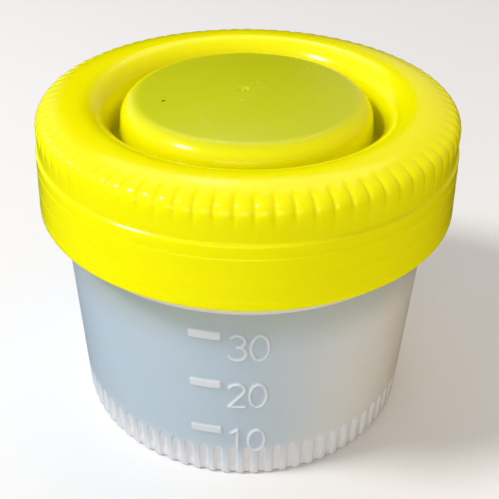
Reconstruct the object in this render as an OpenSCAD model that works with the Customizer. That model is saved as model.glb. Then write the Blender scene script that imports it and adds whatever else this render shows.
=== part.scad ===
// Specimen cup with a screw cap: a translucent graduated cup and a wide,
// fluted cap with a hollow rim, a ring channel and a raised centre.
// Millimetres, +Z up. The origin is the centre of the base, on the surface
// that the cup stands on. -Y is the side with the graduations.

/* [Cup] */
// Outer radius of the cup at its base
cup_r_base = 21.8; // [20:0.1:23]
// Outer radius of the cup just under the collar
cup_r_top = 22.35; // [21.5:0.05:23]
// Height of the collar's lower edge
collar_z = 26.3; // [24:0.1:26.8]
// Height of the collar
collar_h = 1.5; // [1:0.1:1.6]
// Outer radius of the collar
collar_r = 23.2; // [22.8:0.1:23.4]
// Outer radius of the neck that carries the thread
neck_r = 21.3; // [21.1:0.1:21.4]
// Height of the lip
lip_z = 37.2; // [36.8:0.1:37.3]
// Thickness of the cup's wall
cup_wall = 1.35; // [1:0.05:1.5]
// Inner radius of the neck
mouth_r = 20.1; // [19.9:0.05:20.2]
// Thickness of the cup's floor
floor_t = 1; // [0.8:0.1:1.4]

/* [Base ribs] */
// Number of ribs around the foot of the cup
rib_count = 77; // [60:1:84]
// Height of the band of ribs
rib_band_h = 5.2; // [4:0.1:6]
// Depth of the grooves between the ribs
rib_depth = 0.45; // [0.3:0.05:0.55]
// Width of a groove
rib_groove_w = 0.9; // [0.6:0.05:1.1]

/* [Graduations] */
// Volume between two marks, in millilitres
mark_step_ml = 10; // [5:1:12]
// Width of a mark, as an angle round the cup
mark_angle = 9.4; // [6:0.2:12]
// Height of a mark
mark_h = 1.1; // [0.6:0.1:1.4]
// Direction of the middle of the marks
mark_azimuth = -10.4; // [-20:0.2:-8]
// How far marks and numerals stand out of the wall
mark_relief = 0.25; // [0.15:0.05:0.4]
// Height of the numerals
digit_h = 3.9; // [3:0.1:4.2]
// Width of one numeral
digit_w = 2.3; // [1.8:0.1:2.6]
// Width of the numerals' stroke
digit_stroke = 0.4; // [0.3:0.05:0.6]
// Direction of the middle of the numerals
digit_azimuth = 1.8; // [1:0.1:8]
// Angle from one numeral to the next
digit_step = 6.2; // [6:0.1:7]

/* [Cap] */
// Height of the rim's crest when the cap is closed
top_z = 40.7; // [40.3:0.1:40.9]
// Outer radius of the cap's fluted upper part
cap_r = 24.25; // [24.1:0.05:24.5]
// Outer radius of the skirt's lower edge
skirt_r = 25; // [24.8:0.1:25.5]
// Height of the skirt's lower edge
skirt_z = 28.3; // [28.2:0.1:28.8]
// Height of the step between the smooth skirt and the flutes
step_z = 35.7; // [35:0.1:36.5]
// Number of flutes
flute_count = 80; // [60:1:88]
// Radius of a flute's section
flute_r = 0.4; // [0.3:0.05:0.6]
// Depth of a flute
flute_depth = 0.3; // [0.2:0.05:0.35]
// Radius of the rim's outer shoulder
shoulder_r = 1.6; // [1.2:0.1:1.9]
// Radius of the rim's crest, where it starts to roll into the channel
rim_crest_r = 19.5; // [19:0.1:20]
// How far the rim's inner slope drops before the channel's wall is upright
rim_drop = 3.5; // [3:0.1:4]
// Radius of the channel's outer wall
channel_r = 16; // [15.9:0.1:16.2]
// Radius of the raised centre below its rounded edge
dome_r = 14.7; // [14:0.1:14.8]
// Radius of the raised centre's rounded edge
dome_round = 2.5; // [2:0.1:2.7]
// Height at which the raised centre's edge starts to round
dome_edge_z = 38; // [37.6:0.1:38.1]
// Height of the middle of the raised centre
dome_top_z = 41.2; // [41:0.1:41.4]
// Radius of the raised centre at the channel's floor
dome_foot_r = 15.1; // [14.9:0.1:15.2]
// Height of the channel's floor
channel_z = 34.2; // [34:0.1:35]
// Thickness of the cap's wall
cap_wall = 1.1; // [1:0.05:1.2]

/* [Screw thread] */
// Rise of the thread in one turn
pitch = 4; // [3.5:0.1:4.4]
// Number of turns of the ridge on the neck
neck_turns = 1.25; // [1:0.05:1.3]
// Number of turns of the ridge inside the cap
cap_turns = 1.1; // [0.8:0.05:1.2]
// Height of the middle of the neck's ridge at its lower start
neck_thread_z = 30.3; // [30.2:0.1:30.4]
// Height of the middle of the cap's ridge at its lower start
cap_thread_z = 30.7; // [30.5:0.1:30.8]

/* [Seal] */
// Thickness of the sealing ring
seal_t = 0.8; // [0.6:0.1:0.9]
// Gap left on each face of the sealing ring
seal_gap = 0.05; // [0.02:0.01:0.1]

/* [Hidden] */

cup_color = [0.80, 0.85, 0.88, 0.55];
cap_color = [0.95, 0.88, 0.05];
seal_color = [0.93, 0.92, 0.88];

// cup
foot_recess = 0.4;          // height of the hollow under the floor
foot_ring_w = 1.6;          // width of the ring that the cup stands on
foot_chamfer = 0.5;
floor_z = foot_recess + floor_t;
corner_r = 1.2;             // inside corner between wall and floor
neck_z = collar_z + collar_h;
lip_round = 0.35;

// thread ridges: radii of the neck's crest and of the cap's crest
neck_crest_r = neck_r + 1.0;
skirt_in_r = neck_crest_r + 0.45;
cap_crest_r = neck_r + 0.4;
ridge_root = 2.2;           // height of a ridge at its root
ridge_crest = 0.9;          // height of a ridge at its crest
embed = 0.15;               // how far a ridge's root goes into its wall

// cap
land_z = lip_z + seal_t + 2 * seal_gap;   // face that presses on the seal
plug_r = mouth_r - 0.2;                   // outside of the plug ring
plug_t = 1;                               // thickness of the plug ring
plug_z = channel_z - cap_wall;            // lower end of the plug ring
channel_fillet = 0.35;
shoulder_tilt = 20;                       // slope at which crown and shoulder meet
pocket_drop = 1.9;                        // depth of the hollow's ceiling under the crest
ledge_round = 0.4;                        // rounded edge of the skirt's ledge
flare_h = 1.2;                            // height over which the flutes flare to the ledge
lead_in = 0.9;                            // chamfer inside the skirt's edge
small = 0.01;

// Outer radius of the cup's wall at height z
function wall_r(z) = cup_r_base + (cup_r_top - cup_r_base) * z / collar_z;

// Inner radius of the cup at height z
function inner_r(z) = wall_r(z) - cup_wall;

// Height at which the cup holds v millilitres, for an inside that widens
// evenly from the floor upwards
inner_slope = (cup_r_top - cup_r_base) / collar_z;
function level_z(v) =
    floor_z + (pow(pow(inner_r(floor_z), 3) + 3 * inner_slope * v * 1000 / PI, 1 / 3)
    - inner_r(floor_z)) / inner_slope;

// Points of an elliptical arc from angle a0 to a1, with its centre at (cx, cy)
// and the half-axes rx and ry
function oval(cx, cy, rx, ry, a0, a1, n = 14) =
    [for (i = [0 : n]) let (a = a0 + (a1 - a0) * i / n)
        [cx + rx * cos(a), cy + ry * sin(a)]];

// Ridge of one screw thread on the radius root_r. It stands out to crest_r,
// starts at height z0 and azimuth a0, and rises by pitch in one turn. Both
// ends taper off over run_out degrees.
module ridge(root_r, crest_r, z0, a0, turns, steps_per_turn = 48) {
    steps = ceil(turns * steps_per_turn);
    run_out = 20;
    total = turns * 360;
    side = crest_r > root_r ? 1 : -1;
    function taper(a) = min(1, a / run_out, (total - a) / run_out);
    function section(i) =
        let (a = total * i / steps,
             t = max(0.08, taper(a)),
             crest = root_r + (crest_r - root_r) * t,
             z = z0 + pitch * a / 360,
             c = cos(a0 + a), s = sin(a0 + a),
             inner = root_r - side * embed)
        [[inner * c, inner * s, z - ridge_root / 2],
         [crest * c, crest * s, z - ridge_crest / 2],
         [crest * c, crest * s, z + ridge_crest / 2],
         [inner * c, inner * s, z + ridge_root / 2]];
    points = [for (i = [0 : steps]) each section(i)];
    side_faces = [for (i = [0 : steps - 1], k = [0 : 3])
        let (n = (k + 1) % 4)
        [4 * i + k, 4 * (i + 1) + k, 4 * (i + 1) + n, 4 * i + n]];
    ends = [[0, 1, 2, 3], [for (k = [3 : -1 : 0]) 4 * steps + k]];
    all_faces = concat(side_faces, ends);
    faces = side > 0 ? all_faces : [for (f = all_faces) [for (k = [len(f) - 1 : -1 : 0]) f[k]]];
    polyhedron(points, faces, convexity = 6);
}

module cup_profile() {
    polygon(concat(
        [[0, foot_recess], [cup_r_base - foot_ring_w - 0.4, foot_recess],
         [cup_r_base - foot_ring_w, 0], [cup_r_base - foot_chamfer, 0],
         [wall_r(foot_chamfer), foot_chamfer],
         [wall_r(collar_z - 0.6), collar_z - 0.6], [collar_r - 0.3, collar_z],
         [collar_r, collar_z + 0.3], [collar_r, neck_z - 0.3],
         [collar_r - 0.3, neck_z], [neck_r, neck_z],
         [neck_r, lip_z - lip_round], [neck_r - lip_round, lip_z],
         [mouth_r + lip_round, lip_z], [mouth_r, lip_z - lip_round],
         [mouth_r, neck_z], [inner_r(collar_z), collar_z - 0.6]],
        oval(inner_r(floor_z + corner_r) - corner_r, floor_z + corner_r,
             corner_r, corner_r, 0, -90, 8),
        [[0, floor_z]]));
}

module cup() {
    groove_r = rib_groove_w / 2;
    color(cup_color)
    difference() {
        rotate_extrude($fn = 180) cup_profile();
        for (i = [0 : rib_count - 1])
            rotate([0, 0, 360 * (i + 0.5) / rib_count])
                translate([wall_r(rib_band_h / 2) + groove_r - rib_depth, 0, -small])
                    cylinder(r = groove_r, h = rib_band_h, $fn = 16);
    }
}

module cup_thread() {
    color(cup_color)
        ridge(neck_r, neck_crest_r, neck_thread_z, 0, neck_turns);
}

// Outline of a stroke that follows the smooth line p
function stroke_outline(p) =
    let (last = len(p) - 1,
         side = [for (i = [0 : last])
             let (d = p[min(i + 1, last)] - p[max(i - 1, 0)])
             digit_stroke / 2 * [-d[1], d[0]] / norm(d)])
    concat([for (i = [0 : last]) p[i] + side[i]],
           [for (i = [last : -1 : 0]) p[i] - side[i]]);

module stroke(p) {
    polygon(stroke_outline(p));
}

// One numeral, its lower left corner at the origin
module digit(d) {
    w = digit_w - digit_stroke;
    h = digit_h - digit_stroke;
    r = w / 2;
    half = digit_stroke / 2;
    translate([half, half]) {
        if (d == 0)
            difference() {
                polygon(oval(r, h / 2, r + half, h / 2 + half, 0, 350, 35));
                polygon(oval(r, h / 2, r - half, h / 2 - half, 0, 350, 35));
            }
        if (d == 1) {
            stroke([[0.62 * w, h + half], [0.62 * w, -half]]);
            stroke([[0.25 * w, 0.8 * h], [0.66 * w, h + half / 2]]);
        }
        if (d == 2) {
            stroke(oval(r, h - r, r, r, 165, -35));
            stroke([[r + r * cos(35), h - r - r * sin(35)], [0, 0]]);
            stroke([[-half, 0], [w + half, 0]]);
        }
        if (d == 3) {
            stroke(oval(r, 0.76 * h, 0.88 * r, 0.24 * h, 150, -90));
            stroke(oval(r, 0.27 * h, r, 0.27 * h, 90, -150));
        }
    }
}

// One graduation: the bar's top edge is the level, and so is the numerals'
module graduation(ml) {
    z = level_z(ml);
    r0 = wall_r(z - mark_h) - 0.3;
    r1 = wall_r(z) + mark_relief;
    intersection() {
        difference() {
            translate([0, 0, z - digit_h - 1]) cylinder(r = r1, h = digit_h + 2, $fn = 180);
            translate([0, 0, z - digit_h - 2]) cylinder(r = r0, h = digit_h + 4, $fn = 180);
        }
        union() {
            rotate([0, 0, mark_azimuth])
                translate([0, 0, z - mark_h])
                    linear_extrude(mark_h)
                        polygon([[0, 0], 2 * r1 * [sin(-mark_angle / 2), -cos(mark_angle / 2)],
                                 2 * r1 * [sin(mark_angle / 2), -cos(mark_angle / 2)]]);
            for (k = [0, 1])
                rotate([0, 0, digit_azimuth + (k - 0.5) * digit_step])
                    translate([-digit_w / 2, 0, z - digit_h])
                        rotate([90, 0, 0])
                            linear_extrude(2 * r1)
                                digit(k == 0 ? floor(ml / 10) : ml % 10);
        }
    }
}

module graduation_marks() {
    color([0.92, 0.94, 0.96])
        for (k = [1 : 3]) graduation(k * mark_step_ml);
}

module seal_ring() {
    z = lip_z + seal_gap;
    color(seal_color)
        rotate_extrude($fn = 120)
            translate([mouth_r, z]) square([neck_r + 0.9 - mouth_r, seal_t]);
}

// Section of the raised centre from its side to the axis, drawn in by inset
function dome_points(inset) =
    let (edge_r = dome_r - dome_round,
         round_r = dome_round - inset,
         drop = dome_top_z - dome_edge_z - dome_round,
         steps = 10)
    concat(oval(edge_r, dome_edge_z, round_r, round_r, 13, 84, 8),
           [for (i = [1 : steps]) let (t = 1 - i / steps)
               [edge_r * t, dome_top_z - inset - drop * t * t]]);

module cap_outer_profile() {
    ledge_r = cap_r + (skirt_r - cap_r) * (top_z - step_z) / (top_z - skirt_z);
    shoulder_x = cap_r - shoulder_r;
    crown_r = shoulder_r + (shoulder_x - rim_crest_r) / sin(shoulder_tilt);
    polygon(concat(
        [[0, skirt_z], [skirt_r - 0.3, skirt_z], [skirt_r, skirt_z + 0.3],
         [ledge_r, step_z - ledge_round], [ledge_r - 0.06, step_z],
         [cap_r, step_z + flare_h]],
        oval(shoulder_x, top_z - crown_r + (crown_r - shoulder_r) * cos(shoulder_tilt),
             shoulder_r, shoulder_r, 0, 90 - shoulder_tilt, 8),
        oval(rim_crest_r, top_z - crown_r, crown_r, crown_r, 93 - shoulder_tilt, 87, 6),
        oval(rim_crest_r, top_z - rim_drop, rim_crest_r - channel_r, rim_drop, 90, 180),
        oval(channel_r - channel_fillet, channel_z + channel_fillet,
             channel_fillet, channel_fillet, 0, -90, 6),
        oval(dome_foot_r + channel_fillet, channel_z + channel_fillet,
             channel_fillet, channel_fillet, -90, -165, 6),
        dome_points(0)));
}

module cap_inner_profile() {
    pocket_z = top_z - pocket_drop;
    polygon(concat([
        [0, skirt_z - 1], [skirt_in_r + lead_in, skirt_z - 1],
        [skirt_in_r + lead_in, skirt_z], [skirt_in_r, skirt_z + lead_in],
        [skirt_in_r, land_z], [plug_r, land_z], [plug_r, plug_z + 0.4],
        [plug_r - 0.4, plug_z], [plug_r - plug_t, plug_z], [plug_r - plug_t, pocket_z],
        [channel_r + cap_wall, pocket_z - 0.6], [channel_r + cap_wall, plug_z],
        [dome_foot_r - cap_wall, plug_z]],
        dome_points(cap_wall)));
}

module cap() {
    cut_r = cap_r - flute_depth + flute_r;
    color(cap_color)
    difference() {
        rotate_extrude($fn = 180)
            difference() {
                cap_outer_profile();
                cap_inner_profile();
            }
        for (i = [0 : flute_count - 1])
            rotate([0, 0, 360 * i / flute_count])
                translate([cut_r, 0, step_z])
                    cylinder(r = flute_r, h = top_z, $fn = 16);
    }
}

module cap_thread() {
    color(cap_color)
        ridge(skirt_in_r, cap_crest_r, cap_thread_z, 180, cap_turns);
}

cup();
cup_thread();
graduation_marks();
seal_ring();
cap();
cap_thread();
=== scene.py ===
"""Looks of a small specimen cup with a screw cap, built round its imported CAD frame.

Lengths named here are in millimetres and azimuths in degrees, counted from -Y towards +X.
Meshes are made in metres.
"""
import math

import bpy
import numpy as np
from mathutils import Matrix, Vector


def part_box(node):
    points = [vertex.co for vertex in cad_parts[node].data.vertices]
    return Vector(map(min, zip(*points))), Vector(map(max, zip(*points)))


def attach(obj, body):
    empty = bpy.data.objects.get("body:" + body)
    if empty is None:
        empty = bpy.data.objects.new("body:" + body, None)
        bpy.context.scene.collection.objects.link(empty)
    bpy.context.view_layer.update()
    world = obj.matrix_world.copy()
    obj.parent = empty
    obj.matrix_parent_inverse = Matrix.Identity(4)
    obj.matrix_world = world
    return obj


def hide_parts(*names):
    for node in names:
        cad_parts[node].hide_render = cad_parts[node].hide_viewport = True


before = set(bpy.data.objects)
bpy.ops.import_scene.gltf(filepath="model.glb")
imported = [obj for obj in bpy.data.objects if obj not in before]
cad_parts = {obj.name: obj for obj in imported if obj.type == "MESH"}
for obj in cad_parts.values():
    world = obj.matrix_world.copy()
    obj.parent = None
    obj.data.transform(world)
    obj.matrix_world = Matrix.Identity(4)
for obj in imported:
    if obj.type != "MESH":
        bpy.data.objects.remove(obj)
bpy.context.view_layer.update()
MM = 0.001


def cad_size(node):
    """(outer radius, lowest z, highest z) of a CAD node, in mm."""
    low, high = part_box(node)
    return high.x / MM, low.z / MM, high.z / MM


# ---------------------------------------------------------------- driving sizes
COLLAR_R, _, LIP_Z = cad_size("cup")
SKIRT_R, SKIRT_Z, DOME_TOP_Z = cad_size("cap")
SEAL_R, SEAL_LOW_Z, SEAL_HIGH_Z = cad_size("seal_ring")
NECK_CREST_R = cad_size("cup_thread")[0]

# cup
BASE_R = 21.8
WALL_TOP_R = 22.35
COLLAR_Z = 26.3
COLLAR_H = 1.5
NECK_R = 21.3
MOUTH_R = 20.1
WALL_T = 1.35
FLOOR_Z = 1.4
FOOT_RECESS = 0.4
FOOT_RING_W = 1.6
HEEL_ROUND = 0.45
LIP_ROUND = 0.35
COLLAR_ROUND = 0.4
INNER_ROUND = 1.2

# ribs round the foot: grooves between crests that are flush with the wall
RIB_COUNT = 77
RIB_TOP_Z = 5.2
RIB_DEPTH = 0.42
RIB_GROOVE_SHARE = 0.33

# raised marks
MARK_LEVELS = {10: 8.6, 20: 16.1, 30: 23.4}
BAR_AZIMUTH = -10.4
BAR_HALF_W = 1.8
BAR_H = 1.15
BAR_CORNER = 0.25
STIPPLE_PITCH = 0.36
STIPPLE_H = 0.03
DIGIT_AZIMUTH = 1.8
DIGIT_STEP = 6.2
DIGIT_W = 1.9
DIGIT_H = 3.55
DIGIT_DROP = 0.35
STROKE_W = 0.31
MARK_RELIEF = 0.24
WINDOW = (-17.2, 9.0)
WINDOW_STEP = 0.235

# cap
RIM_Z = 40.7
CAP_R = 24.25
STEP_Z = 35.7
LEDGE_ROUND = 0.45
LEDGE_ARC = 8
SKIRT_LIP_ROUND = 0.45
FLARE_H = 0.32
RING_EDGES = {29.5: 0.03, 32.0: 0.03, 34.4: 0.05}
RING_EASE = 0.1
SHOULDER_R = 1.6
SHOULDER_TILT = 20
RIM_CREST_R = 19.5
RIM_DROP = 3.5
CHANNEL_R = 16.0
POCKET_DROP = 1.9
CHANNEL_Z = 34.2
CHANNEL_FILLET = 0.35
DOME_FOOT_R = 15.1
DOME_R = 14.7
DOME_ROUND = 2.5
DOME_EDGE_Z = 38.0
GATE_NUB = (-0.35, -0.6)
GATE_NUB_R = 0.32
GATE_NUB_H = 0.2
SPECK = (-9.3 * MM, -3.1 * MM, 40.85 * MM)
CAP_WALL = 1.1
FLUTE_COUNT = 80
FLUTE_DEPTH = 0.22

# screw thread and the faces inside the cap
PITCH = 4.0
NECK_THREAD = {"z": 30.3, "azimuth": 90, "turns": 1.25, "height": NECK_CREST_R - NECK_R}
CAP_THREAD = {"z": 30.7, "azimuth": -90, "turns": 1.1, "height": 1.05}
RIDGE_ROOT = 2.2
RIDGE_CREST = 0.9
SKIRT_IN_R = NECK_CREST_R + 0.45
LEAD_IN = 0.9
LAND_Z = SEAL_HIGH_Z + 0.05
PLUG_R = MOUTH_R - 0.2
PLUG_T = 1.0
PLUG_Z = CHANNEL_Z - CAP_WALL


# ---------------------------------------------------------------- profiles
def line(start, end, steps):
    """Points from start to end, without the start."""
    t = np.arange(1, steps + 1)[:, None] / steps
    return (1 - t) * np.array(start, float) + t * np.array(end, float)


def oval(centre, radii, start, end, steps):
    """Points of an elliptical arc between two angles in degrees."""
    a = np.radians(np.linspace(start, end, steps + 1))
    return np.column_stack([centre[0] + radii[0] * np.cos(a), centre[1] + radii[1] * np.sin(a)])


def path(*stretches):
    """One list of (r, z) points from points and arrays of points, without repeats."""
    points = np.vstack([np.atleast_2d(np.array(s, float)) for s in stretches])
    keep = np.ones(len(points), bool)
    keep[1:] = np.linalg.norm(np.diff(points, axis=0), axis=1) > 1e-4
    return points[keep]


def even(count):
    """Azimuths of evenly spaced columns."""
    return -180 + 360 * np.arange(count) / count


def with_window(count):
    """Even columns, and close ones in the window that holds the marks."""
    rest = even(count)
    rest = rest[(rest < WINDOW[0]) | (rest > WINDOW[1])]
    return np.sort(np.append(rest, np.arange(*WINDOW, WINDOW_STEP)))


def ramp(low, high, value):
    """0 at low, 1 at high, straight between."""
    return np.clip((value - low) / (high - low), 0, 1)


def smooth(low, high, value):
    """0 at low, 1 at high, eased at both ends."""
    t = ramp(low, high, value)
    return t * t * (3 - 2 * t)


# ---------------------------------------------------------------- relief
def ribs(azimuth, z):
    """Grooves of the foot, arched at their tops, and shallower in the lowest band."""
    across = np.abs((azimuth * RIB_COUNT / 360) % 1 - 0.5) / RIB_GROOVE_SHARE
    shape = smooth(1, 0.45, across)
    arch = RIB_TOP_Z - 0.8 * across**2
    depth = RIB_DEPTH * (0.55 + 0.45 * smooth(1.2, 2.2, z))
    return -depth * shape * smooth(0, 0.5, arch - z)


def thread(azimuth, z, ridge):
    """Height of a screw thread's ridge over the surface it stands on."""
    total = 360 * ridge["turns"]
    height = np.zeros_like(azimuth)
    for lap in range(2):
        turned = (azimuth - ridge["azimuth"]) % 360 + 360 * lap
        away = np.abs(z - ridge["z"] - PITCH * turned / 360)
        side = 1 - smooth(RIDGE_CREST / 2 - 0.1, RIDGE_ROOT / 2 + 0.1, away)
        ends = smooth(0, 20, turned) * smooth(0, 20, total - turned)
        height = np.maximum(height, side * ends * ridge["height"])
    return height


def digit_strokes(digit):
    """Centre lines of a numeral, its lower left corner at the origin."""
    w, h = DIGIT_W, DIGIT_H
    r = w / 2
    if digit == 0:
        return [oval((r, h / 2), (r, h / 2), 0, 360, 36)]
    if digit == 1:
        return [np.array([[0.2 * w, 0.84 * h], [0.58 * w, h], [0.58 * w, 0]])]
    if digit == 2:
        bowl = oval((r, h - 0.9 * r), (0.92 * r, 0.9 * r), 165, -35, 18)
        return [path(bowl, (0.05 * w, 0), (w, 0))]
    return [path(oval((r, 0.76 * h), (0.85 * r, 0.24 * h), 150, -90, 16),
                 oval((r, 0.27 * h), (r, 0.27 * h), 90, -150, 18))]


def distance_to(points, x, y):
    """Distance from each (x, y) to a line through the points."""
    nearest = np.full(x.shape, 1e9)
    for a, b in zip(points[:-1], points[1:]):
        d = b - a
        t = np.clip(((x - a[0]) * d[0] + (y - a[1]) * d[1]) / (d @ d), 0, 1)
        nearest = np.minimum(nearest, np.hypot(x - a[0] - t * d[0], y - a[1] - t * d[1]))
    return nearest


def bar(x, y):
    """A raised, finely stippled bar whose middle is the origin."""
    dx = np.abs(x) - BAR_HALF_W + BAR_CORNER
    dy = np.abs(y) - BAR_H / 2 + BAR_CORNER
    outside = np.hypot(np.maximum(dx, 0), np.maximum(dy, 0)) + np.minimum(np.maximum(dx, dy), 0)
    turn = 2 * np.pi / STIPPLE_PITCH
    stipple = STIPPLE_H * np.sin(turn * x) * np.sin(turn * y)
    return (0.8 * MARK_RELIEF + stipple) * (1 - smooth(-0.12, 0.12, outside - BAR_CORNER))


def marks(azimuth, radius, z):
    """Height of the bars and numerals over the cup's wall."""
    height = np.zeros_like(azimuth)
    for volume, level in MARK_LEVELS.items():
        if not level - DIGIT_H - 1.5 < z < level + 0.5:
            continue
        x = radius * np.radians(azimuth - BAR_AZIMUTH)
        height = np.maximum(height, bar(x, z - level + BAR_H / 2))
        for column, digit in enumerate((volume // 10, volume % 10)):
            middle = DIGIT_AZIMUTH + (column - 0.5) * DIGIT_STEP
            x = radius * np.radians(azimuth - middle) + DIGIT_W / 2
            y = z - (level - DIGIT_H - DIGIT_DROP)
            near = np.minimum.reduce([distance_to(s, x, y) for s in digit_strokes(digit)])
            stroke = 0.5 + 0.5 * np.cos(np.pi * np.clip(near / STROKE_W, 0, 1))
            height = np.maximum(height, MARK_RELIEF * stroke)
    return height


def cup_relief(azimuth, radius, z):
    return ribs(azimuth, z) + marks(azimuth, radius, z)


def neck_relief(azimuth, radius, z):
    return thread(azimuth, z, NECK_THREAD)


def skirt_relief(azimuth, radius, z):
    return thread(azimuth, z, CAP_THREAD)


def crown_r():
    """Radius of the rim's gently crowned top, from its crest out to the shoulder."""
    reach = CAP_R - SHOULDER_R - RIM_CREST_R
    return SHOULDER_R + reach / math.sin(math.radians(SHOULDER_TILT))


def shoulder_centre():
    """Centre, as (r, z), of the arc that rounds the rim's shoulder."""
    drop = (crown_r() - SHOULDER_R) * math.cos(math.radians(SHOULDER_TILT))
    return CAP_R - SHOULDER_R, RIM_Z - crown_r() + drop


def flutes(azimuth, radius, z):
    """Convex pads with narrow notches between: deep on the shoulder, faint down the side."""
    across = np.abs(2 * ((azimuth * FLUTE_COUNT / 360 + 0.5) % 1) - 1)
    notch = 0.4 * across**2 + 0.6 * smooth(0.6, 1.0, across)
    over_rim = smooth(CAP_R - 2.4, CAP_R - 0.8, radius)
    shoulder_z = shoulder_centre()[1]
    down_side = 0.1 + 0.9 * smooth(shoulder_z - 0.9, shoulder_z + 0.5, z)
    at_step = smooth(STEP_Z + 0.1, STEP_Z + 1.4, z)
    return -FLUTE_DEPTH * notch * over_rim * down_side * at_step


def gate_nub(azimuth, radius, z):
    """The small stub that the moulding gate left, sunk in its dimple to the top's height."""
    a = np.radians(azimuth)
    away = np.hypot(radius * np.sin(a) - GATE_NUB[0], -radius * np.cos(a) - GATE_NUB[1])
    stub = 1 - smooth(0.4, 1, away / GATE_NUB_R)
    dimple = 1 - smooth(1.3, 2.4, away / GATE_NUB_R)
    return GATE_NUB_H * (stub - dimple)


# ---------------------------------------------------------------- revolved meshes
def stretch(points, columns, relief=None):
    return {"points": points, "columns": columns, "relief": relief}


def profile_normals(points):
    """Outward normals of a profile that runs anticlockwise round its section."""
    d = np.gradient(points, axis=0)
    n = np.column_stack([d[:, 1], -d[:, 0]])
    return n / np.maximum(np.linalg.norm(n, axis=1, keepdims=True), 1e-9)


def bridge(low, high):
    """Faces between two closed rings, each (first index, azimuths)."""
    (a0, a), (b0, b) = low, high
    n, m = len(a), len(b)
    if n == m and np.allclose(a, b):
        return [(a0 + i, a0 + (i + 1) % n, b0 + (i + 1) % n, b0 + i) for i in range(n)]
    faces, i, j = [], 0, 0
    next_a, next_b = np.append(a, a[0] + 360), np.append(b, b[0] + 360)
    while i < n or j < m:
        if j == m or (i < n and next_a[i + 1] <= next_b[j + 1]):
            faces.append((a0 + i % n, a0 + (i + 1) % n, b0 + j % m))
            i += 1
        else:
            faces.append((a0 + i % n, b0 + (j + 1) % m, b0 + j % m))
            j += 1
    return faces


def revolve(name, stretches, closed=False):
    """A mesh object from stretches of a profile. An open profile starts and ends on the axis."""
    points = np.vstack([s["points"] for s in stretches])
    normals = profile_normals(points)
    rows = [(s["columns"], s["relief"]) for s in stretches for _ in s["points"]]
    vertices, heights, faces, rings, count = [], [], [], [], 0
    for (r, z), (nr, nz), (columns, relief) in zip(points, normals, rows):
        if r < 1e-6:
            vertices.append(np.array([[0, 0, z]]))
            heights.append(np.zeros(1))
            rings.append((count, None))
            count += 1
            continue
        out = relief(columns, r, z) if relief else np.zeros(len(columns))
        heights.append(out)
        a = np.radians(columns)
        radius = r + out * nr
        vertices.append(np.column_stack([radius * np.sin(a), -radius * np.cos(a), z + out * nz]))
        rings.append((count, columns))
        count += len(columns)
    pairs = list(zip(rings[:-1], rings[1:]))
    if closed:
        pairs.append((rings[-1], rings[0]))
    for low, high in pairs:
        if low[1] is None:
            n = len(high[1])
            faces += [(low[0], high[0] + (i + 1) % n, high[0] + i) for i in range(n)]
        elif high[1] is None:
            n = len(low[1])
            faces += [(low[0] + i, low[0] + (i + 1) % n, high[0]) for i in range(n)]
        else:
            faces += bridge(low, high)
    mesh = bpy.data.meshes.new(name)
    mesh.from_pydata((np.vstack(vertices) * MM).tolist(), [], faces)
    mesh.attributes.new("relief", "FLOAT", "POINT").data.foreach_set(
        "value", np.concatenate(heights).astype(np.float32))
    mesh.validate()
    mesh.shade_smooth()
    piece = bpy.data.objects.new(name, mesh)
    bpy.context.scene.collection.objects.link(piece)
    return piece


def wall_r(z):
    """Outer radius of the cup's tapered wall."""
    return BASE_R + (WALL_TOP_R - BASE_R) * z / COLLAR_Z


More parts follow.
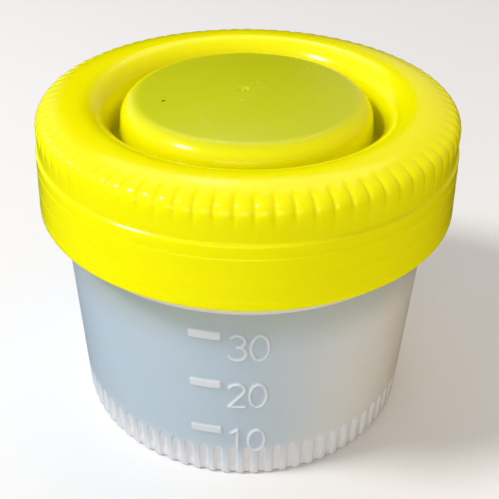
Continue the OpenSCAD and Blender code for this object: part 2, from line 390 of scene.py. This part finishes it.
def build_cup():
    ribbed, marked, plain = with_window(RIB_COUNT * 12), with_window(180), even(180)
    neck_z = COLLAR_Z + COLLAR_H
    foot_r = BASE_R - FOOT_RING_W
    foot = path((0, FOOT_RECESS), line((0, FOOT_RECESS), (foot_r - 0.9, FOOT_RECESS), 8),
                oval((foot_r - 0.9, 0.2), (0.2, 0.2), 90, 0, 4), (foot_r - 0.6, 0.03),
                (foot_r - 0.4, 0), line((foot_r - 0.4, 0), (BASE_R - 0.9, 0), 3))
    heel = path(oval((BASE_R - HEEL_ROUND, HEEL_ROUND), (HEEL_ROUND, HEEL_ROUND), -90, 0, 7),
                line((BASE_R, HEEL_ROUND), (wall_r(1.1), 1.1), 2),
                line((wall_r(1.1), 1.1), (wall_r(2.3), 2.3), 4),
                line((wall_r(2.3), 2.3), (wall_r(4.2), 4.2), 4),
                line((wall_r(4.2), 4.2), (wall_r(5.5), 5.5), 14))
    levels = [5.5]
    for level in MARK_LEVELS.values():
        low = max(level - DIGIT_H - 0.8, levels[-1] + 0.1)
        levels += list(np.arange(low, level + 0.25, 0.1))
    body = np.array([(wall_r(z), z) for z in levels[1:]])
    top = path(line(body[-1], (wall_r(25.7), 25.7), 4), (wall_r(26.1) + 0.1, 26.1),
               (wall_r(26.3) + 0.35, 26.33),
               oval((COLLAR_R - 0.55, COLLAR_Z + 0.6), (0.55, 0.6), -80, 0, 6),
               oval((COLLAR_R - COLLAR_ROUND, neck_z - COLLAR_ROUND),
                    (COLLAR_ROUND, COLLAR_ROUND), 0, 90, 6),
               (NECK_R + 0.25, neck_z), (NECK_R, neck_z + 0.25))
    neck = line((NECK_R, neck_z + 0.3), (NECK_R, LIP_Z - 0.4), 62)
    lip_radii = (LIP_ROUND, LIP_ROUND)
    lip = path(oval((NECK_R - LIP_ROUND, LIP_Z - LIP_ROUND), lip_radii, 0, 90, 6),
               oval((MOUTH_R + LIP_ROUND, LIP_Z - LIP_ROUND), lip_radii, 90, 180, 6))
    inner_top = wall_r(COLLAR_Z) - WALL_T
    inner_low = wall_r(FLOOR_Z) - WALL_T
    bore = path(line((MOUTH_R, LIP_Z - 0.4), (MOUTH_R, neck_z), 4),
                line((MOUTH_R, neck_z), (inner_top, COLLAR_Z - 0.6), 6),
                line((inner_top, COLLAR_Z - 0.6), (inner_low, FLOOR_Z + INNER_ROUND), 8),
                oval((inner_low - INNER_ROUND, FLOOR_Z + INNER_ROUND),
                     (INNER_ROUND, INNER_ROUND), 0, -90, 8),
                line((inner_low - INNER_ROUND, FLOOR_Z), (0, FLOOR_Z), 7))
    return revolve("cup_body", [
        stretch(foot, plain), stretch(heel, ribbed, cup_relief), stretch(body, marked, cup_relief),
        stretch(top, plain), stretch(neck, even(240), neck_relief), stretch(lip, plain),
        stretch(bore, plain)])


def ledge_r():
    """Radius of the skirt's taper where the fluted part starts."""
    return CAP_R + (SKIRT_R - CAP_R) * (RIM_Z - STEP_Z) / (RIM_Z - SKIRT_Z)


def skirt_points():
    """The smooth skirt, from its lower lip up to the ledge, with faint ring edges."""
    low = SKIRT_Z + SKIRT_LIP_ROUND
    high = STEP_Z - LEDGE_ROUND
    near = [np.linspace(z - 1.2 * RING_EASE, z + 1.2 * RING_EASE, 9) for z in RING_EDGES]
    heights = np.unique(np.concatenate([np.linspace(low, high, 18), *near]).round(4))
    inset = sum(depth * smooth(z - RING_EASE, z + RING_EASE, heights)
                for z, depth in RING_EDGES.items())
    radii = SKIRT_R + (ledge_r() + sum(RING_EDGES.values()) - SKIRT_R) * ramp(
        low, high, heights) - inset
    lip = oval((SKIRT_R - SKIRT_LIP_ROUND, low), (SKIRT_LIP_ROUND, SKIRT_LIP_ROUND), -90, 0, 8)
    top = oval((ledge_r() - LEDGE_ROUND, high), (LEDGE_ROUND, LEDGE_ROUND),
               0, LEDGE_ARC, 2)
    return path(lip, np.column_stack([radii, heights]), top)


def rim_points():
    """The fluted side, its rounded shoulder and the crown of the rim up to its crest."""
    centre = shoulder_centre()
    heights = np.append(np.linspace(STEP_Z, STEP_Z + FLARE_H, 7),
                        np.linspace(STEP_Z + FLARE_H + 0.1, centre[1], 9))
    flare = (ledge_r() - CAP_R) * (1 - smooth(STEP_Z, STEP_Z + FLARE_H, heights))
    crown = (crown_r(), crown_r())
    return path(np.column_stack([CAP_R + flare, heights]),
                oval(centre, (SHOULDER_R, SHOULDER_R), 0, 90 - SHOULDER_TILT, 12),
                oval((RIM_CREST_R, RIM_Z - crown_r()), crown, 91 - SHOULDER_TILT, 90, 9))


def dome_points(inset, steps):
    """The raised centre from its side to the axis, drawn in by inset."""
    edge_r, round_r = DOME_R - DOME_ROUND, DOME_ROUND - inset
    drop = DOME_TOP_Z - DOME_EDGE_Z - DOME_ROUND
    fine = 2.0 / edge_r
    share = np.append(np.linspace(1, fine, steps)[1:], np.linspace(fine, 0, steps)[1:])
    return path(oval((edge_r, DOME_EDGE_Z), (round_r, round_r), 13, 84, 12),
                np.column_stack([edge_r * share, DOME_TOP_Z - inset - drop * share**2]))


def channel_points():
    """From the rim's crest down its rolled inner slope and over the channel's floor."""
    fillet = (CHANNEL_FILLET, CHANNEL_FILLET)
    floor_z = CHANNEL_Z + CHANNEL_FILLET
    slope_z = RIM_Z - RIM_DROP
    return path(oval((RIM_CREST_R, slope_z), (RIM_CREST_R - CHANNEL_R, RIM_DROP), 94, 180, 36),
                line((CHANNEL_R, slope_z), (CHANNEL_R, floor_z), 5),
                oval((CHANNEL_R - CHANNEL_FILLET, floor_z), fillet, 0, -90, 5),
                oval((DOME_FOOT_R + CHANNEL_FILLET, floor_z), fillet, -90, -170, 5),
                line((DOME_FOOT_R, floor_z + 0.05), (DOME_R + 0.02, DOME_EDGE_Z), 8))


def under_points():
    """The cap's hidden underside, from the axis out to the skirt's inner face."""
    pocket_z = RIM_Z - POCKET_DROP
    plug_in_r = PLUG_R - PLUG_T
    hollow = dome_points(CAP_WALL, 10)[::-1]
    return path(hollow,
                line(hollow[-1], (DOME_FOOT_R - CAP_WALL, PLUG_Z + 0.3), 4),
                (DOME_FOOT_R - CAP_WALL + 0.3, PLUG_Z), (CHANNEL_R + CAP_WALL - 0.3, PLUG_Z),
                line((CHANNEL_R + CAP_WALL, PLUG_Z + 0.3), (CHANNEL_R + CAP_WALL, pocket_z - 0.6),
                     3),
                (plug_in_r, pocket_z),
                line((plug_in_r, pocket_z - 0.2), (plug_in_r, PLUG_Z + 0.3), 3),
                oval((PLUG_R - PLUG_T / 2, PLUG_Z + 0.4), (PLUG_T / 2, 0.4), 180, 360, 8),
                line((PLUG_R, PLUG_Z + 0.4), (PLUG_R, LAND_Z - 0.1), 4), (PLUG_R + 0.1, LAND_Z),
                line((PLUG_R + 0.1, LAND_Z), (SKIRT_IN_R - 0.1, LAND_Z), 2),
                (SKIRT_IN_R, LAND_Z - 0.1))


def build_cap():
    fluted, plain = even(FLUTE_COUNT * 12), even(180)
    inside = line((SKIRT_IN_R, LAND_Z - 0.2), (SKIRT_IN_R, SKIRT_Z + LEAD_IN + 0.1), 60)
    mouth = path((SKIRT_IN_R, SKIRT_Z + LEAD_IN), (SKIRT_IN_R + LEAD_IN - 0.1, SKIRT_Z + 0.08),
                 (SKIRT_IN_R + LEAD_IN + 0.1, SKIRT_Z))
    return revolve("cap_shell", [
        stretch(under_points(), plain), stretch(inside, plain, skirt_relief),
        stretch(mouth, plain), stretch(skirt_points(), plain),
        stretch(rim_points(), fluted, flutes), stretch(channel_points(), plain),
        stretch(dome_points(0, 26), plain, gate_nub)])


def build_seal():
    """A soft ring with a low bead on each face."""
    low, high, inner = SEAL_LOW_Z, SEAL_HIGH_Z, MOUTH_R
    bead_r = (MOUTH_R + NECK_R) / 2
    section = path(oval((SEAL_R - 0.25, low + 0.25), (0.25, 0.25), -90, 0, 4),
                   oval((SEAL_R - 0.25, high - 0.25), (0.25, 0.25), 0, 90, 4),
                   line((SEAL_R - 0.3, high), (bead_r + 0.5, high), 3),
                   oval((bead_r, high - 0.08), (0.4, 0.08), 0, 180, 8),
                   oval((inner + 0.2, high - 0.2), (0.2, 0.2), 90, 180, 4),
                   oval((inner + 0.2, low + 0.2), (0.2, 0.2), 180, 270, 4),
                   oval((bead_r, low + 0.08), (0.4, 0.08), 180, 360, 8),
                   line((bead_r + 0.5, low), (SEAL_R - 0.3, low), 3))
    return revolve("seal_gasket", [stretch(section, even(180))], closed=True)


# ---------------------------------------------------------------- materials
YELLOW = ((0.93, 0.87, 0.0006, 1), (0.91, 0.845, 0.0004, 1))
# olive of the raised centre: painted shade of the dark hollow under its thin wall
DOME_PAINTED_SHADE = ((0.56, 0.60, 0.008, 1), (0.58, 0.62, 0.012, 1))
SPECK_COLOUR = (0.02, 0.015, 0.01, 1)
WALL_COOL = ((0.58, 0.70, 0.78, 1), (0.61, 0.73, 0.81, 1))
# lighter, warmer wall colour towards +X: painted light on the right side
WALL_PAINTED_WARM_LIGHT = (0.99, 0.95, 0.84, 1)
WALL_SHADED = (0.50, 0.55, 0.47, 1)
# cream on the collar: painted glow of the cap's yellow light
COLLAR_PAINTED_GLOW = (0.90, 0.86, 0.68, 1)
# white of the foot: painted glow of light through the thick foot and its ribs
FOOT_PAINTED_GLOW = (0.96, 0.97, 0.98, 1)
# white of the marks and grooves: painted highlights and painted light through the thin wall
RELIEF_PAINTED_LIGHT = (0.97, 0.98, 0.98, 1)
SEAL_CREAM = ((0.84, 0.83, 0.78, 1), (0.78, 0.77, 0.72, 1))


def new_material(name, constants):
    """A material with its Principled shader's sockets set."""
    material = bpy.data.materials.new(name)
    material.use_nodes = True
    shader = material.node_tree.nodes["Principled BSDF"]
    for socket, value in constants.items():
        shader.inputs[socket].default_value = value
    return material, shader


def add_node(tree, kind, inputs=None, **settings):
    """A node with its settings; an input is a value or another node's socket."""
    node = tree.nodes.new(kind)
    for key, value in settings.items():
        setattr(node, key, value)
    for key, value in (inputs or {}).items():
        if isinstance(value, bpy.types.NodeSocket):
            tree.links.new(value, node.inputs[key])
        else:
            node.inputs[key].default_value = value
    return node


def math_node(tree, operation, a, b):
    return add_node(tree, "ShaderNodeMath", {0: a, 1: b}, operation=operation).outputs[0]


def noise(tree, where, scale, detail=3.0):
    inputs = {"Vector": where, "Scale": scale, "Detail": detail}
    return add_node(tree, "ShaderNodeTexNoise", inputs).outputs["Fac"]


def span(tree, value, low, high, to_low=0.0, to_high=1.0):
    """value mapped smoothly from low..high to to_low..to_high."""
    inputs = {"Value": value, "From Min": low, "From Max": high,
              "To Min": to_low, "To Max": to_high}
    return add_node(tree, "ShaderNodeMapRange", inputs,
                    interpolation_type="SMOOTHSTEP").outputs["Result"]


def blend_colour(tree, factor, a, b):
    node = add_node(tree, "ShaderNodeMix", {"Factor": factor}, data_type="RGBA")
    for socket, value in zip((node.inputs[6], node.inputs[7]), (a, b)):
        if isinstance(value, bpy.types.NodeSocket):
            tree.links.new(value, socket)
        else:
            socket.default_value = value
    return node.outputs[2]


def bump(tree, height, distance, strength=1.0, base=None):
    inputs = {"Height": height, "Distance": distance, "Strength": strength}
    if base is not None:
        inputs["Normal"] = base
    return add_node(tree, "ShaderNodeBump", inputs).outputs["Normal"]


def place(tree):
    return add_node(tree, "ShaderNodeTexCoord").outputs["Object"]


def near_spot(tree, where, spot, reach):
    """1 at a spot, falling to 0 at reach, both in metres."""
    apart = add_node(tree, "ShaderNodeVectorMath", {0: where, 1: spot}, operation="DISTANCE")
    return span(tree, apart.outputs["Value"], reach, reach * 0.4)


def yellow_plastic():
    """Glossy yellow, slightly glowing, with one speck; the thin raised centre is painted olive, as
    painted shade of the dark hollow under it.
    """
    material, shader = new_material("yellow_plastic", {
        "IOR": 1.38, "Specular IOR Level": 0.5, "Specular Tint": (1.0, 0.95, 0.7, 1),
        "Subsurface Weight": 0.55, "Subsurface Scale": 0.0022,
        "Subsurface Radius": (1.0, 0.8, 0.05)})
    tree = material.node_tree
    where = place(tree)
    flat = add_node(tree, "ShaderNodeVectorMath", {0: where, 1: (1, 1, 0)}, operation="MULTIPLY")
    radius = add_node(tree, "ShaderNodeVectorMath", {0: flat.outputs[0]},
                      operation="LENGTH").outputs["Value"]
    height = add_node(tree, "ShaderNodeSeparateXYZ", {0: where}).outputs["Z"]
    cloud = noise(tree, where, 90.0)
    base = blend_colour(tree, cloud, *YELLOW)
    # painted shade: the thin raised centre is painted darker olive, for the dark hollow under it
    inward = span(tree, radius, 0.0143, 0.0122)
    above = span(tree, height, 0.0390, 0.0402)
    dome = math_node(tree, "MULTIPLY", inward, above)
    olive = blend_colour(tree, noise(tree, where, 60.0), *DOME_PAINTED_SHADE)
    colour = blend_colour(tree, dome, base, olive)
    speck = near_spot(tree, where, SPECK, 0.0003)
    colour = blend_colour(tree, speck, colour, SPECK_COLOUR)
    tree.links.new(colour, shader.inputs["Base Color"])
    rough = span(tree, noise(tree, where, 260.0), 0.2, 0.8, 0.12, 0.18)
    dome_rough = math_node(tree, "MULTIPLY", dome, 0.1)
    tree.links.new(math_node(tree, "ADD", rough, dome_rough), shader.inputs["Roughness"])
    grain = bump(tree, noise(tree, where, 2500.0), 0.00002, 0.1)
    tree.links.new(bump(tree, noise(tree, where, 150.0, 1.0), 0.0002, 0.2, grain),
                   shader.inputs["Normal"])
    return material


def frosted_plastic():
    """Frosted, slightly cloudy wall, with painted light: a lighter, warmer right side, painted
    shade under the cap, painted glows on the collar and foot, and raised marks and ribs' grooves
    painted whiter.
    """
    material, shader = new_material("frosted_plastic", {
        "IOR": 1.49, "Transmission Weight": 0.22, "Subsurface Weight": 0.25,
        "Subsurface Scale": 0.002, "Subsurface Radius": (0.8, 0.9, 1.0)})
    tree = material.node_tree
    where = place(tree)
    height = add_node(tree, "ShaderNodeSeparateXYZ", {0: where}).outputs["Z"]
    relief = add_node(tree, "ShaderNodeAttribute", attribute_name="relief").outputs["Fac"]
    cloud = noise(tree, where, 70.0)
    wall = blend_colour(tree, cloud, *WALL_COOL)
    # painted light: the wall is painted lighter and warmer towards +X, the right side
    across = add_node(tree, "ShaderNodeSeparateXYZ", {0: where}).outputs["X"]
    wall = blend_colour(tree, span(tree, across, -0.002, 0.020), wall, WALL_PAINTED_WARM_LIGHT)
    # painted shade under the cap, tinted green as by the cap's yellow light, on the wall's upper
    # part
    shaded = span(tree, height, 0.019, 0.0262, 0.0, 0.75)
    wall = blend_colour(tree, shaded, wall, WALL_SHADED)
    # painted light: a cream glow on the collar's strip, for light through the yellow cap
    collar_painted_glow = span(tree, height, 0.0260, 0.0263)
    wall = blend_colour(tree, collar_painted_glow, wall, COLLAR_PAINTED_GLOW)
    # painted light: the wall is painted whiter towards the bottom, for light glowing through the
    # thick foot
    foot = span(tree, height, 0.0066, 0.0, 0.0, 1.0)
    wall = blend_colour(tree, foot, wall, FOOT_PAINTED_GLOW)
    # painted highlight: the raised marks are painted whiter, as if catching the light
    raised = span(tree, relief, 0.04, 0.22, 0.0, 0.8)
    colour = blend_colour(tree, raised, wall, RELIEF_PAINTED_LIGHT)
    # painted light: the ribs' grooves are painted whiter, for more light through the thinner wall
    sunk = span(tree, relief, -0.05, -0.3)
    colour = blend_colour(tree, sunk, colour, RELIEF_PAINTED_LIGHT)
    tree.links.new(colour, shader.inputs["Base Color"])
    rough = span(tree, noise(tree, where, 400.0), 0.3, 0.7, 0.28, 0.38)
    tree.links.new(rough, shader.inputs["Roughness"])
    grain = bump(tree, noise(tree, where, 3000.0), 0.00002, 0.3)
    tree.links.new(bump(tree, noise(tree, where, 120.0, 1.0), 0.0004, 0.35, grain),
                   shader.inputs["Normal"])
    return material


def soft_seal():
    """Matte, cream, slightly grainy."""
    material, shader = new_material("soft_seal", {"IOR": 1.45, "Subsurface Weight": 0.3,
                                                  "Subsurface Scale": 0.001})
    tree = material.node_tree
    where = place(tree)
    colour = blend_colour(tree, noise(tree, where, 300.0), *SEAL_CREAM)
    tree.links.new(colour, shader.inputs["Base Color"])
    rough = span(tree, noise(tree, where, 900.0), 0.3, 0.7, 0.55, 0.7)
    tree.links.new(rough, shader.inputs["Roughness"])
    tree.links.new(bump(tree, noise(tree, where, 2500.0), 0.00003, 0.4), shader.inputs["Normal"])
    return material


def floor_material():
    material, _ = new_material("pale_floor", {"Roughness": 0.6,
                                              "Base Color": (0.9, 0.9, 0.9, 1)})
    return material


# ---------------------------------------------------------------- stage, light and camera
COOL_LIGHT = (0.84, 1.0, 1.35, 1)
WARM_LIGHT = (1.15, 0.90, 0.60, 1)
SKY_STRENGTH = 0.46


def build_floor():
    mesh = bpy.data.meshes.new("floor")
    side, drop = 2.0, -0.00002
    mesh.from_pydata([(-side, -side, drop), (side, -side, drop), (side, side, drop),
                      (-side, side, drop)], [], [(0, 1, 2, 3)])
    floor = bpy.data.objects.new("floor", mesh)
    floor.data.materials.append(floor_material())
    floor.visible_glossy = False
    bpy.context.scene.collection.objects.link(floor)


def build_world():
    """White backdrop for the camera, and a soft light that is cool from the left, warm right.

    Reflections see a dark floor, and a dark low screen straight behind the object.
    """
    world = bpy.data.worlds.new("studio")
    bpy.context.scene.world = world
    world.use_nodes = True
    tree = world.node_tree
    background = tree.nodes["Background"]
    towards = add_node(tree, "ShaderNodeTexCoord").outputs["Generated"]
    parts = add_node(tree, "ShaderNodeSeparateXYZ", {0: towards}).outputs
    across, back, up = parts["X"], parts["Y"], parts["Z"]
    off_middle = math_node(tree, "ABSOLUTE", math_node(tree, "ADD", across, 0.12), 0.0)
    screen = math_node(tree, "MULTIPLY", span(tree, off_middle, 0.38, 0.2),
                       span(tree, up, 0.68, 0.54))
    screen = math_node(tree, "MULTIPLY", screen, span(tree, back, 0.3, 0.6))
    lit = math_node(tree, "MULTIPLY", math_node(tree, "SUBTRACT", 1.0, screen),
                    span(tree, up, -0.05, 0.1, 0.03, 1.0))
    strength = math_node(tree, "MULTIPLY", lit, SKY_STRENGTH)
    tint = blend_colour(tree, span(tree, across, -0.9, 0.9), COOL_LIGHT, WARM_LIGHT)
    seen = add_node(tree, "ShaderNodeLightPath").outputs["Is Camera Ray"]
    tree.links.new(blend_colour(tree, seen, tint, (1, 1, 1, 1)), background.inputs["Color"])
    strength = math_node(tree, "MAXIMUM", strength, seen)
    tree.links.new(strength, background.inputs["Strength"])


def add_lamp(name, direction, distance, size, power, colour, shape="DISK"):
    """A soft lamp that faces the cap from a direction."""
    data = bpy.data.lights.new(name, "AREA")
    data.shape = shape
    data.size = size[0]
    if len(size) > 1:
        data.size_y = size[1]
    data.energy = power
    data.color = colour
    lamp = bpy.data.objects.new(name, data)
    towards = Vector(direction).normalized()
    lamp.location = Vector((0, 0, 0.03)) + towards * distance
    lamp.rotation_mode = "QUATERNION"
    lamp.rotation_quaternion = towards.to_track_quat("Z", "Y")
    bpy.context.scene.collection.objects.link(lamp)


def build_lights():
    add_lamp("key", (-0.63, -0.17, 0.75), 0.6, (0.14,), 2.3, (1.0, 0.99, 0.96))
    add_lamp("high_window", (0.0, 0.6, 0.8), 0.8, (0.6, 0.35), 0.8, (1.0, 0.98, 0.92),
             "RECTANGLE")
    add_lamp("core", (-0.08, 0.66, 0.74), 0.8, (0.08,), 0.1, (1.0, 1.0, 1.0))
    add_lamp("front_fill", (-0.1, -0.9, 0.25), 1.0, (0.8, 0.5), 2.2, (1.0, 0.98, 0.95),
             "RECTANGLE")


CAMERA_PLACE = (0, -81.88, 75.6)
CAMERA_YAW, CAMERA_PITCH, CAMERA_ROLL = 2.24, -35.67, -0.275
LENS = 54.48
SHIFT = (0.06, 0.02)


def build_camera():
    """The camera stands in front and above; its shift keeps the object in the middle."""
    data = bpy.data.cameras.new("camera")
    data.sensor_width = 36.0
    data.lens = LENS
    data.shift_x, data.shift_y = SHIFT
    data.clip_start = 0.001
    camera = bpy.data.objects.new("camera", data)
    camera.location = Vector(CAMERA_PLACE) * MM
    yaw, pitch, roll = (math.radians(a) for a in (CAMERA_YAW, CAMERA_PITCH, CAMERA_ROLL))
    turn = Matrix.Rotation(yaw, 4, "Z") @ Matrix.Rotation(math.pi / 2 + pitch, 4, "X")
    camera.rotation_mode = "QUATERNION"
    camera.rotation_quaternion = (turn @ Matrix.Rotation(roll, 4, "Z")).to_quaternion()
    bpy.context.scene.collection.objects.link(camera)
    bpy.context.scene.camera = camera


# ---------------------------------------------------------------- assembly
def finish_piece(piece, material, body, slot, *nodes):
    piece.data.materials.append(material)
    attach(piece, body)
    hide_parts(*nodes)


bpy.context.scene.view_settings.view_transform = "Standard"
build_world()
build_floor()
build_lights()
build_camera()
finish_piece(build_cup(), frosted_plastic(), "cup", "frosted_plastic",
             "cup", "cup_thread", "graduation_marks")
finish_piece(build_seal(), soft_seal(), "seal", "soft_seal", "seal_ring")
finish_piece(build_cap(), yellow_plastic(), "cap", "yellow_plastic", "cap", "cap_thread")
